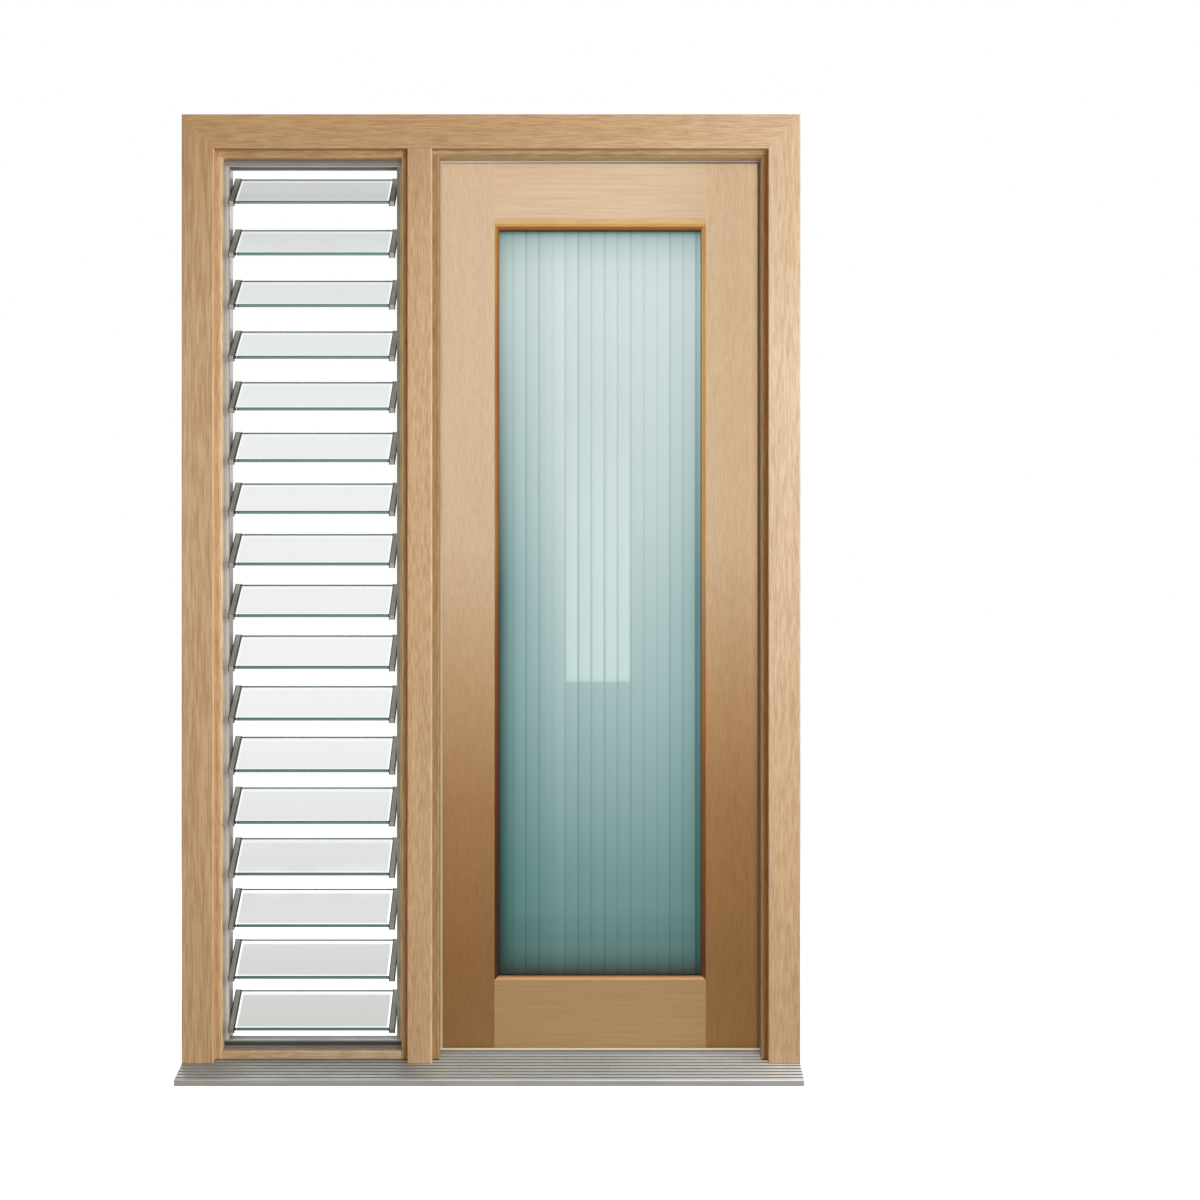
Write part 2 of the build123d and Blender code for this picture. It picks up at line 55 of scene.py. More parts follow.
# Camera, square on to the outer face of the frame
PHOTO_PIXELS = 1200
PIXEL_ON_FACE = 0.002255
CAMERA_DISTANCE = 5.462
CAMERA_PLACE = (0.2458, -CAMERA_DISTANCE, 1.0772)
SENSOR = 36.0

# Sizes that the solids share with the finishes
REED_PITCH = 0.0301
REED_FIRST_VALLEY = 0.0082
BLADE_TILT = radians(31.6)
BLADE_GRIP = 0.0122
CLIP_HALF = 0.0070
BEAD_FALL = 0.008
STOP_PROJECTION = 0.015
SILL_NOSE_HEIGHT = 0.0145
SILL_FALL = 0.0315 / 0.185
GROOVE_DEPTH = 0.002

# The bright patch in the pane, as reeds counted from the left and heights
PATCH_REEDS = (5, 10)
PATCH_HEIGHTS = (0.890, 1.520)
PATCH_FADE = 0.05
PATCH_LAMP_Y = -3.9

# Hinge screws
SCREW_RADIUS = 0.0042
SCREW_RISE = 0.0004
SCREW_SIDES = 28
SCREW_HEIGHTS = (-0.040, -0.014, 0.014, 0.040)
SCREW_STAGGER = 0.006

# Light levels, in watts for lamps
KEY_POWER = 100.0
FLANK_POWER = 35.0
BACK_POWER = 60.0
SIDE_POWER = 20.0
STRIP_POWER = 3.8
AMBIENT = 0.20
FLOOR_GLOW = 0.88


def colour(red, green, blue):
    """A screen colour, 0 to 255, as the linear colour that the shader takes."""
    linear = [pow((v / 255 + 0.055) / 1.055, 2.4) if v > 10 else v / 255 / 12.92 for v in (red, green, blue)]
    return (*linear, 1.0)


class Finish:
    """A node material, with a short call for each kind of node in it."""

    def __init__(self, name):
        self.material = bpy.data.materials.new(name)
        self.material.use_nodes = True
        self.tree = self.material.node_tree
        self.surface = self.tree.nodes["Principled BSDF"]
        coordinates = self.tree.nodes.new("ShaderNodeTexCoord")
        self.place = coordinates.outputs["Object"]
        self.facing = coordinates.outputs["Normal"]
        self.x, self.y, self.z = self.parts(self.place)

    def add(self, kind, inputs, output=0, **settings):
        """A node of this kind, its inputs linked or set, and one of its outputs."""
        node = self.tree.nodes.new(kind)
        for name, value in settings.items():
            setattr(node, name, value)
        for key, value in inputs.items():
            self.put(node.inputs[key], value)
        return node.outputs[output]

    def put(self, socket, value):
        if isinstance(value, bpy.types.NodeSocket):
            self.tree.links.new(value, socket)
        else:
            socket.default_value = value

    def set(self, **sockets):
        """Sets or links sockets of the surface shader, named with underscores."""
        for name, value in sockets.items():
            self.put(self.surface.inputs[name.replace("_", " ")], value)

    def parts(self, vector):
        node = self.tree.nodes.new("ShaderNodeSeparateXYZ")
        self.put(node.inputs[0], vector)
        return node.outputs[0], node.outputs[1], node.outputs[2]

    def join(self, x, y, z):
        return self.add("ShaderNodeCombineXYZ", {0: x, 1: y, 2: z})

    def math(self, operation, a, b=0.0, c=0.0):
        return self.add("ShaderNodeMath", {0: a, 1: b, 2: c}, operation=operation)

    def fit(self, value, low, high, to_low=0.0, to_high=1.0, smooth=False):
        """Value from low to high, mapped and held within the second range."""
        inputs = {"Value": value, "From Min": low, "From Max": high, "To Min": to_low, "To Max": to_high}
        kind = "SMOOTHSTEP" if smooth else "LINEAR"
        return self.add("ShaderNodeMapRange", inputs, interpolation_type=kind)

    def stretch(self, vector, scale, shift=(0, 0, 0)):
        return self.add("ShaderNodeMapping", {"Vector": vector, "Scale": scale, "Location": shift})

    def noise(self, vector, scale, detail=2.0, rough=0.5, distortion=0.0):
        inputs = {"Vector": vector, "Scale": scale, "Detail": detail, "Roughness": rough, "Distortion": distortion}
        return self.add("ShaderNodeTexNoise", inputs)

    def ramp(self, factor, stops):
        """Colour along a list of (place, colour)."""
        node = self.tree.nodes.new("ShaderNodeValToRGB")
        band = node.color_ramp
        while len(band.elements) < len(stops):
            band.elements.new(1.0)
        for element, (place, shade) in zip(band.elements, stops):
            element.position = place
            element.color = shade
        self.put(node.inputs[0], factor)
        return node.outputs[0]

    def scale_ramp(self, value, stops):
        """Colour along a list of (size, colour), the sizes in the units of the value."""
        low, high = stops[0][0], stops[-1][0]
        return self.ramp(self.fit(value, low, high), [((at - low) / (high - low), shade) for at, shade in stops])

    def mix(self, factor, a, b, kind="MIX"):
        node = self.tree.nodes.new("ShaderNodeMix")
        node.data_type = "RGBA"
        node.blend_type = kind
        self.put(node.inputs[0], factor)
        self.put(node.inputs[6], a)
        self.put(node.inputs[7], b)
        return node.outputs[2]

    def bump(self, height, strength, distance):
        self.set(Normal=self.add("ShaderNodeBump", {"Height": height, "Strength": strength, "Distance": distance}))

    def arris(self):
        """Up to 1 on rounded edges, where the surface faces between two axes, more on those to the right, where the
        painted highlight falls.
        """
        facing = self.parts(self.facing)
        sides = [self.math("ABSOLUTE", side) for side in facing]
        straight = self.math("MAXIMUM", self.math("MAXIMUM", sides[0], sides[1]), sides[2])
        painted_highlight = self.fit(facing[0], -0.3, 0.3, 0.3, 1.0)
        return self.math("MULTIPLY", self.fit(straight, 0.985, 0.90), painted_highlight)

    def above_sill(self):
        """Height above the slope that the sill's ribs lie in."""
        slope = self.math("MULTIPLY_ADD", self.y, SILL_FALL, SILL_NOSE_HEIGHT - SILL_FALL * cad_box[0].y)
        return self.math("SUBTRACT", self.z, slope)

    def colour_link(self):
        """What feeds the base colour so far."""
        return self.surface.inputs["Base Color"].links[0].from_socket

    def tone(self, mask, tint):
        """Multiplies the base colour by a tint, where the mask is 1."""
        self.set(Base_Color=self.mix(mask, self.colour_link(), tint, "MULTIPLY"))

    def faces(self, axis, low, high):
        """1 where the surface faces along an axis, from the first share of it up to the second."""
        return self.fit(self.parts(self.facing)[axis], low, high)

    def on(self, *names):
        """Gives this finish to solids of the frame."""
        for name in names:
            slots = nodes[name].data.materials
            slots.clear()
            slots.append(self.material)


# Timber

STREAK = (0.72, 0.64, 0.55, 1.0)
PORE = (0.70, 0.60, 0.50, 1.0)
# Rounded edges paled by wear and by a painted highlight, stronger on edges facing right
WEAR_AND_HIGHLIGHT = (1.42, 1.44, 1.46, 1.0)
# Painted shade along the foot of the timber, where it meets the sill
SILL_CONTACT_SHADE = (0.42, 0.36, 0.32, 1.0)
LONG_STREAK = 0.070
FRAME_STREAK = 0.040
STILE_STREAK = 0.030
RAIL_STREAK = 0.160


def timber(name, seed, tones, along="up", contrast=1.0, streak=FRAME_STREAK):
    """Straight-grained hardwood: tones by place along the grain, marks as long as the streak."""
    wood = Finish(name)
    turned = wood.join(wood.z, wood.y, wood.x)
    if along == "up":
        grain, run = wood.place, wood.z
    elif along == "across":
        grain, run = turned, wood.x
    else:
        grain, run = wood.mix(along(wood), wood.place, turned), wood.z
    shift = (seed * 1.37, seed * 2.11, seed * 0.73)

    def marks(width, length, detail):
        """Noise drawn out along the grain, its cells this wide and long."""
        return wood.noise(wood.stretch(grain, (1.0, 1.0, width / length), shift), 1 / width, detail)

    broad = marks(0.024, 0.800, 3.0)
    middle = marks(0.0065, 1.6 * streak, 2.0)
    fine = marks(0.0030, streak, 2.0)
    pores = wood.fit(marks(0.0011, 0.026, 1.0), 0.62, 0.74)
    cloud = marks(0.140, 0.560, 2.0)
    pale = wood.scale_ramp(wood.math("ADD", run, wood.fit(cloud, 0.0, 1.0, -0.03, 0.03)), tones)
    streaks = wood.math("ADD", wood.fit(broad, 0.38, 0.66, 0.0, 0.20), wood.fit(middle, 0.38, 0.64, 0.0, 0.26))
    streaks = wood.math("ADD", streaks, wood.fit(fine, 0.42, 0.62, 0.0, 0.66))
    lit = wood.mix(wood.fit(cloud, 0.35, 0.65, 0.0, 0.45), pale, (0.93, 0.91, 0.88, 1.0), "MULTIPLY")
    grained = wood.mix(wood.math("MULTIPLY", streaks, contrast), lit, STREAK, "MULTIPLY")
    pored = wood.mix(wood.math("MULTIPLY", pores, 0.6 * contrast), grained, PORE, "MULTIPLY")
    # Edge wear and painted highlight on the rounded edges
    wear_and_highlight = wood.mix(wood.math("MULTIPLY", wood.arris(), 0.8), pored, WEAR_AND_HIGHLIGHT, "MULTIPLY")
    # Painted shade in a line at the foot, just above the sill
    foot = wood.fit(wood.above_sill(), 0.0006, 0.0030, 1.0, 0.0)
    wood.set(
        Base_Color=wood.mix(wood.math("MULTIPLY", foot, wood.fit(middle, 0.3, 0.6, 0.6, 1.0)), wear_and_highlight, SILL_CONTACT_SHADE, "MULTIPLY"),
        Roughness=wood.fit(fine, 0.3, 0.7, 0.46, 0.62),
        Specular_IOR_Level=0.22,
    )
    wood.bump(wood.math("SUBTRACT", wood.math("MULTIPLY", fine, 0.5), pores), 0.30, 0.0003)
    return wood


def hoop(stops):
    """Where a lining runs across: above its mitres, found from the solid's own box."""
    low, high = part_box(stops)

    def across(wood):
        left = wood.math("SUBTRACT", low.x + STOP_PROJECTION, wood.x)
        right = wood.math("SUBTRACT", wood.x, high.x - STOP_PROJECTION)
        beside = wood.math("MAXIMUM", wood.math("MAXIMUM", left, right), 0.0)
        return wood.math("GREATER_THAN", wood.math("SUBTRACT", wood.z, high.z - STOP_PROJECTION), beside)

    return across


# Tones along each piece carry painted light: the right jamb and the head towards its right end are paler, on the side
# the light comes from
JAMB_LEFT_TONES = [
    (0.05, colour(203, 169, 127)),
    (0.60, colour(207, 172, 134)),
    (1.10, colour(209, 176, 139)),
    (1.70, colour(208, 175, 138)),
    (2.15, colour(198, 163, 121)),
]
MULLION_TONES = [
    (0.05, colour(200, 168, 130)),
    (0.80, colour(201, 170, 134)),
    (1.45, colour(207, 175, 140)),
    (1.90, colour(204, 172, 137)),
    (2.08, colour(196, 163, 127)),
]
JAMB_RIGHT_TONES = [
    (0.05, colour(192, 161, 126)),
    (0.45, colour(203, 171, 135)),
    (1.05, colour(208, 180, 150)),
    (1.60, colour(218, 195, 166)),
    (2.15, colour(214, 186, 154)),
]
HEAD_TONES = [
    (-0.70, colour(197, 159, 116)),
    (-0.20, colour(192, 156, 118)),
    (0.30, colour(200, 166, 129)),
    (0.70, colour(214, 184, 152)),
]
DOOR_STOP_TONES = [
    (0.05, colour(197, 169, 132)),
    (1.20, colour(187, 162, 129)),
    (2.09, colour(192, 165, 132)),
]
LOUVRE_STOP_TONES = [
    (0.05, colour(191, 161, 122)),
    (1.20, colour(198, 169, 133)),
    (2.09, colour(193, 162, 123)),
]
SILL_RAIL_TONES = [(-0.62, colour(201, 173, 134)), (-0.19, colour(200, 178, 144))]

# Light from the right: sides that face it are paler, and the legs beside it fall into brown shade
LIT_SIDE = (1.42, 1.42, 1.42, 1)
LIT_MULLION_SIDE = (1.60, 1.60, 1.62, 1)
LIT_LOUVRE_SIDE = (1.35, 1.55, 1.75, 1)
DOOR_STOP_BANDS = [
    (0.6110, (0.95, 0.95, 0.95, 1)),
    (0.6135, (0.95, 0.93, 0.90, 1)),
    (0.6150, (0.69, 0.58, 0.43, 1)),
    (0.6180, (0.66, 0.53, 0.36, 1)),
    (0.6205, (0.58, 0.42, 0.24, 1)),
    (0.6230, (0.66, 0.46, 0.25, 1)),
    (0.6260, (0.88, 0.60, 0.34, 1)),
]
LOUVRE_STOP_BANDS = [
    (-0.6260, (1.00, 1.00, 1.00, 1)),
    (-0.6190, (1.05, 1.05, 1.05, 1)),
    (-0.6170, (1.30, 1.32, 1.34, 1)),
    (-0.6100, (1.22, 1.24, 1.28, 1)),
    (-0.6000, (1.00, 1.00, 1.00, 1)),
    (-0.2045, (1.15, 1.12, 1.06, 1)),
    (-0.2015, (1.08, 1.02, 0.94, 1)),
    (-0.2000, (0.88, 0.72, 0.52, 1)),
    (-0.1925, (0.95, 0.70, 0.40, 1)),
    (-0.1890, (1.40, 1.30, 1.10, 1)),
]
# Painted shade in bands across the head stops, and painted light on the stops' undersides
DOOR_HEAD_BANDS = [
    (2.0800, (0.70, 0.64, 0.56, 1)),
    (2.0862, (0.70, 0.64, 0.56, 1)),
    (2.0878, (1.00, 1.00, 1.00, 1)),
]
LOUVRE_HEAD_BANDS = [
    (2.0800, (1.00, 1.00, 1.00, 1)),
    (2.0815, (0.88, 0.83, 0.77, 1)),
    (2.0960, (0.86, 0.81, 0.75, 1)),
]
DOOR_SOFFIT_LIGHT = (1.70, 2.05, 2.40, 1)
LOUVRE_SOFFIT_LIGHT = (1.65, 1.75, 1.85, 1)


def stop_timber(name, seed, tones, node, bands, head_bands, side, soffit):
    """Planted stops, toned across their legs, down their head, and on their sides and underside, with painted light and
    shade.
    """
    wood = timber(name, seed, tones, hoop(node))
    wood.tone(1.0, wood.scale_ramp(wood.x, bands))
    wood.tone(1.0, wood.scale_ramp(wood.z, head_bands))
    sideways = wood.math("ABSOLUTE", wood.parts(wood.facing)[0])
    wood.tone(wood.fit(sideways, 0.7, 0.95), side)
    wood.tone(wood.faces(2, -0.7, -0.95), soffit)
    wood.on(node)


jamb_left = timber("jamb_left_timber", 1, JAMB_LEFT_TONES, "up", 1.0, LONG_STREAK)
jamb_left.tone(jamb_left.faces(0, 0.7, 0.95), LIT_SIDE)
jamb_left.on("jamb_left")
mullion = timber("mullion_timber", 3, MULLION_TONES, "up", 0.95)
mullion.tone(mullion.faces(0, 0.7, 0.95), LIT_MULLION_SIDE)
mullion.on("mullion")
timber("jamb_right_timber", 2, JAMB_RIGHT_TONES, "up", 0.75).on("jamb_right")
timber("head_timber", 4, HEAD_TONES, "across", 0.80).on("head")
timber("louvre_rail_timber", 5, SILL_RAIL_TONES, "across").on("louvre_sill_rail")
stop_timber("door_stop_timber", 6, DOOR_STOP_TONES, "door_stops", DOOR_STOP_BANDS, DOOR_HEAD_BANDS,
            LIT_SIDE, DOOR_SOFFIT_LIGHT)
stop_timber("louvre_stop_timber", 7, LOUVRE_STOP_TONES, "louvre_stops", LOUVRE_STOP_BANDS,
            LOUVRE_HEAD_BANDS, LIT_LOUVRE_SIDE, LOUVRE_SOFFIT_LIGHT)

# The leaf's tones carry painted light: lighter at eye height and deeper with painted shade towards the floor
STILE_LOCK_TONES = [
    (0.05, colour(138, 102, 63)),
    (0.24, colour(139, 101, 62)),
    (0.60, colour(158, 120, 80)),
    (0.85, colour(179, 146, 108)),
    (1.22, colour(203, 179, 150)),
    (2.10, colour(212, 189, 160)),
]
STILE_HINGE_TONES = [
    (0.05, colour(140, 103, 62)),
    (0.24, colour(140, 102, 61)),
    (0.60, colour(156, 116, 76)),
    (0.85, colour(178, 141, 100)),
    (1.22, colour(205, 176, 143)),
    (2.10, colour(213, 186, 153)),
]
RAIL_TOP_TONES = [(0.0, colour(214, 188, 158)), (0.25, colour(216, 192, 162)), (0.49, colour(212, 187, 157))]
RAIL_BOTTOM_TONES = [(0.0, colour(171, 139, 99)), (0.25, colour(172, 140, 100)), (0.49, colour(169, 136, 95))]
LEAF_CONTRAST = 0.40
timber("stile_lock_timber", 8, STILE_LOCK_TONES, "up", LEAF_CONTRAST, STILE_STREAK).on("stile_lock")
# Painted light along the hinge stile's outer edge, lifting the shadow that the jamb and stop cast there
STILE_EDGE_LIGHT = [
    (0.585, (1.00, 1.00, 1.00, 1)),
    (0.594, (1.12, 1.12, 1.12, 1)),
    (0.600, (1.26, 1.26, 1.26, 1)),
    (0.606, (1.32, 1.32, 1.32, 1)),
]
stile_hinge = timber("stile_hinge_timber", 9, STILE_HINGE_TONES, "up", LEAF_CONTRAST, STILE_STREAK)
stile_hinge.tone(1.0, stile_hinge.scale_ramp(stile_hinge.x, STILE_EDGE_LIGHT))
stile_hinge.on("stile_hinge")
timber("rail_top_timber", 10, RAIL_TOP_TONES, "across", LEAF_CONTRAST, RAIL_STREAK).on("rail_top")
timber("rail_bottom_timber", 11, RAIL_BOTTOM_TONES, "across", LEAF_CONTRAST, RAIL_STREAK).on("rail_bottom")

BEAD_TONE = colour(211, 177, 127)
# The hinge-side bead is paler with painted light, its bevel facing away from the light
BEAD_TONE_HINGE_SIDE = colour(240, 202, 138)
BEAD_TONE_FOOT = colour(192, 156, 117)
# Stains across the beads towards the glass, darkened with painted shade where the beads meet the glass
TOP_STAIN_AND_SHADE = [
    (0.00, (1.00, 1.00, 1.00, 1)),
    (0.05, (0.72, 0.58, 0.37, 1)),
    (0.20, (0.79, 0.74, 0.56, 1)),
    (0.34, (0.69, 0.57, 0.36, 1)),
    (0.48, (0.49, 0.27, 0.12, 1)),
    (0.62, (0.30, 0.136, 0.063, 1)),
    (0.76, (0.40, 0.24, 0.137, 1)),
    (0.92, (0.15, 0.087, 0.034, 1)),
    (1.00, (0.05, 0.04, 0.03, 1)),
]
LOCK_STAIN_AND_SHADE = [
    (0.00, (0.60, 0.43, 0.25, 1)),
    (0.12, (0.46, 0.29, 0.14, 1)),
    (0.23, (0.38, 0.21, 0.09, 1)),
    (0.46, (0.36, 0.19, 0.08, 1)),
    (0.70, (0.285, 0.15, 0.06, 1)),
    (1.00, (0.16, 0.085, 0.035, 1)),
]
HINGE_STAIN_AND_SHADE = [
    (0.00, (0.75, 0.62, 0.45, 1)),
    (0.24, (0.69, 0.54, 0.36, 1)),
    (0.47, (0.67, 0.535, 0.40, 1)),
    (0.69, (0.70, 0.64, 0.515, 1)),
    (0.85, (0.55, 0.48, 0.38, 1)),
    (1.00, (0.25, 0.20, 0.16, 1)),
]
FOOT_STAIN_AND_SHADE = [
    (0.00, (1.00, 1.00, 1.00, 1)),
    (0.45, (1.00, 0.98, 0.95, 1)),
    (0.60, (0.74, 0.64, 0.52, 1)),
    (0.80, (0.66, 0.42, 0.20, 1)),
    (0.95, (0.24, 0.16, 0.09, 1)),
    (1.00, (0.06, 0.07, 0.05, 1)),
]
# Painted light and shade by height on the side beads: dark towards the floor, pale and bluish towards the top
LOCK_BEAD_LIGHT = [
    (0.26, (0.13, 0.11, 0.20, 1)),
    (0.40, (0.13, 0.11, 0.20, 1)),
    (0.53, (0.19, 0.135, 0.23, 1)),
    (0.66, (0.29, 0.205, 0.28, 1)),
    (0.80, (0.40, 0.30, 0.33, 1)),
    (0.94, (0.55, 0.42, 0.46, 1)),
    (1.08, (0.62, 0.72, 0.90, 1)),
    (1.21, (0.90, 1.10, 1.40, 1)),
    (1.40, (1.05, 1.10, 1.15, 1)),
    (1.66, (1.00, 1.00, 1.00, 1)),
    (1.78, (1.25, 1.50, 1.70, 1)),
    (1.92, (1.30, 1.65, 1.85, 1)),
]
HINGE_BEAD_LIGHT = [
    (0.26, (0.22, 0.11, 0.127, 1)),
    (0.39, (0.28, 0.149, 0.147, 1)),
    (0.53, (0.37, 0.217, 0.196, 1)),
    (0.66, (0.42, 0.235, 0.225, 1)),
    (0.80, (0.62, 0.39, 0.33, 1)),
    (0.94, (0.62, 0.48, 0.50, 1)),
    (1.08, (0.71, 0.72, 1.00, 1)),
    (1.21, (0.89, 0.84, 0.91, 1)),
    (1.49, (1.00, 1.00, 1.00, 1)),
    (1.76, (1.07, 1.12, 1.12, 1)),
    (1.89, (0.96, 0.93, 0.95, 1)),
]


def bead_timber(name, seed, along, tone, stain):
    """Stained bead: one tone on its face, and a stain with painted shade that deepens as it falls towards the glass."""
    wood = timber(name, seed, [(0.0, tone), (2.0, tone)], along, LEAF_CONTRAST)
    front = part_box("bead_top")[0].y
    wood.tone(1.0, wood.ramp(wood.fit(wood.y, front, front + BEAD_FALL), stain))
    return wood


bead_lock = bead_timber("bead_lock_timber", 12, "up", BEAD_TONE, LOCK_STAIN_AND_SHADE)
bead_lock.tone(1.0, bead_lock.scale_ramp(bead_lock.z, LOCK_BEAD_LIGHT))
bead_lock.on("bead_lock_side")
bead_hinge = bead_timber("bead_hinge_timber", 14, "up", BEAD_TONE_HINGE_SIDE, HINGE_STAIN_AND_SHADE)
bead_hinge.tone(1.0, bead_hinge.scale_ramp(bead_hinge.z, HINGE_BEAD_LIGHT))
bead_hinge.on("bead_hinge_side")
bead_timber("bead_top_timber", 13, "across", BEAD_TONE, TOP_STAIN_AND_SHADE).on("bead_top")
bead_timber("bead_foot_timber", 15, "across", BEAD_TONE_FOOT, FOOT_STAIN_AND_SHADE).on("bead_bottom")

# Reeded pane

# Painted light and shade in the pane: the body pales upwards, and the rims darken with painted shade from the rebate
GLASS_TONES = [
    (0.369, colour(107, 145, 142)),
    (0.484, colour(118, 155, 152)),
    (0.60, colour(132, 165, 163)),
    (0.70, colour(141, 173, 171)),
    (0.95, colour(164, 190, 189)),
    (1.30, colour(189, 206, 206)),
    (1.95, colour(211, 223, 223)),
]
VALLEY_SHADE = (0.66, 0.78, 0.77, 1.0)
LEFT_RIM = [
    (0.009, (0.07, 0.15, 0.13, 1)),
    (0.0113, (0.08, 0.17, 0.15, 1)),
    (0.0205, (0.20, 0.35, 0.33, 1)),
    (0.0297, (0.34, 0.52, 0.50, 1)),
    (0.0458, (0.55, 0.69, 0.68, 1)),
    (0.0733, (0.72, 0.81, 0.81, 1)),
    (0.1032, (0.80, 0.87, 0.87, 1)),
    (0.1470, (1.00, 1.00, 1.00, 1)),
]
RIGHT_RIM = [
    (0.009, (0.25, 0.40, 0.38, 1)),
    (0.0208, (0.30, 0.46, 0.44, 1)),
    (0.0222, (0.60, 0.73, 0.72, 1)),
    (0.0347, (0.69, 0.80, 0.79, 1)),
    (0.0553, (0.82, 0.88, 0.88, 1)),
    (0.0829, (0.88, 0.92, 0.92, 1)),
    (0.1473, (0.97, 0.98, 0.98, 1)),
    (0.2000, (1.00, 1.00, 1.00, 1)),
]
FOOT_RIM = [
    (0.006, (0.11, 0.07, 0.04, 1)),
    (0.013, (0.20, 0.16, 0.10, 1)),
    (0.027, (0.36, 0.37, 0.33, 1)),
    (0.045, (0.56, 0.57, 0.55, 1)),
    (0.068, (0.72, 0.755, 0.73, 1)),
    (0.091, (0.77, 0.80, 0.79, 1)),
    (0.160, (1.00, 1.00, 1.00, 1)),
]
BROW_RIM = [
    (0.0232, (0.01, 0.04, 0.015, 1)),
    (0.0251, (0.10, 0.16, 0.14, 1)),
    (0.0274, (0.20, 0.31, 0.29, 1)),
    (0.0343, (0.46, 0.60, 0.61, 1)),
    (0.0435, (0.64, 0.73, 0.72, 1)),
    (0.0573, (0.74, 0.80, 0.80, 1)),
    (0.0802, (0.86, 0.89, 0.89, 1)),
    (0.1080, (0.95, 0.96, 0.96, 1)),
    (0.1600, (1.00, 1.00, 1.00, 1)),
]


def reeded():
    """Satin teal glass: a pale body that pales upwards with painted light, a painted dark line of shade in each valley
    and a painted dark rim of shade in the rebate.
    """
    glass = Finish("reeded_glass_finish")
    low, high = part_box("reeded_glass")
    cloud = glass.noise(glass.stretch(glass.place, (1.0, 1.0, 0.3)), 6.0)
    body = glass.scale_ramp(glass.math("MULTIPLY_ADD", cloud, 0.05, glass.z), GLASS_TONES)
    turns = glass.math("DIVIDE", glass.math("SUBTRACT", glass.x, low.x + REED_FIRST_VALLEY), REED_PITCH)
    across = glass.math("ABSOLUTE", glass.math("SUBTRACT", glass.math("FRACT", turns), 0.5))
    valley = glass.fit(across, 0.37, 0.48, smooth=True)
    reed = glass.add("ShaderNodeTexWhiteNoise", {"W": glass.math("FLOOR", turns)}, noise_dimensions="1D")
    line = glass.add("ShaderNodeTexWhiteNoise", {"W": glass.math("ROUND", turns)}, noise_dimensions="1D")
    uneven = glass.mix(glass.fit(reed, 0.0, 1.0, 0.0, 0.6), body, (0.90, 0.93, 0.93, 1), "MULTIPLY")
    depth = glass.math("MULTIPLY", valley, glass.fit(line, 0.0, 1.0, 0.20, 0.75))
    lined = glass.mix(depth, uneven, VALLEY_SHADE, "MULTIPLY")
    shade = glass.fit(glass.z, 1.75, 1.10, 0.38, 1.0)
    for distance, rim, amount in (
        (glass.math("SUBTRACT", glass.x, low.x), LEFT_RIM, shade),
        (glass.math("SUBTRACT", high.x, glass.x), RIGHT_RIM, shade),
        (glass.math("SUBTRACT", glass.z, low.z), FOOT_RIM, 1.0),
        (glass.math("SUBTRACT", high.z, glass.z), BROW_RIM, 1.0),
    ):
        lined = glass.mix(amount, lined, glass.scale_ramp(distance, rim), "MULTIPLY")
    satin = glass.noise(glass.place, 700.0, 2.0)
    outside = glass.faces(1, -0.3, -0.6)
    polish = glass.math("MULTIPLY", outside, glass.fit(glass.z, 0.40, 0.85, 0.15, 1.0))
    flat = glass.add("ShaderNodeVectorTransform", {0: (0.0, -1.0, 0.0)}, vector_type="NORMAL",
                     convert_from="OBJECT", convert_to="WORLD")
    glass.set(
        Base_Color=lined,
        Roughness=glass.fit(satin, 0.3, 0.7, 0.28, 0.34),
        Specular_IOR_Level=0.15,
        Transmission_Weight=0.12,
        IOR=1.48,
        Coat_Weight=glass.math("MULTIPLY", polish, glass.fit(depth, 0.0, 0.6, 1.0, 0.3)),
        Coat_Roughness=0.02,
        Coat_Normal=flat,
    )
    glass.bump(satin, 0.04, 0.0002)
    return glass


reeded().on("reeded_glass")

# Louvre blades

# Tint by height, with painted shade on the lowest blades and under the head
BLADE_TONES = [
    (0.12, (0.50, 0.50, 0.485, 1)),
    (0.28, (0.49, 0.495, 0.49, 1)),
    (0.42, (0.50, 0.51, 0.51, 1)),
    (0.50, (0.71, 0.72, 0.715, 1)),
    (0.80, (0.845, 0.855, 0.86, 1)),
    (1.05, (0.86, 0.868, 0.872, 1)),
    (1.30, (0.86, 0.87, 0.875, 1)),
    (1.50, (0.835, 0.855, 0.86, 1)),
    (1.88, (0.725, 0.76, 0.76, 1)),
    (2.04, (0.61, 0.62, 0.62, 1)),
]


BLADE_END_LEFT = [
    (0.0125, (0.012, 0.020, 0.018, 1)),
    (0.0158, (0.012, 0.020, 0.018, 1)),
    (0.0164, (0.70, 0.74, 0.73, 1)),
    (0.0182, (0.70, 0.74, 0.73, 1)),
    (0.0188, (0.012, 0.020, 0.018, 1)),
    (0.0212, (0.012, 0.020, 0.018, 1)),
    (0.0220, (0.17, 0.29, 0.27, 1)),
    (0.1200, (0.20, 0.32, 0.30, 1)),
]
BLADE_END_RIGHT = [
    (0.0125, (0.10, 0.14, 0.13, 1)),
    (0.0150, (1, 1, 1, 1)),
]


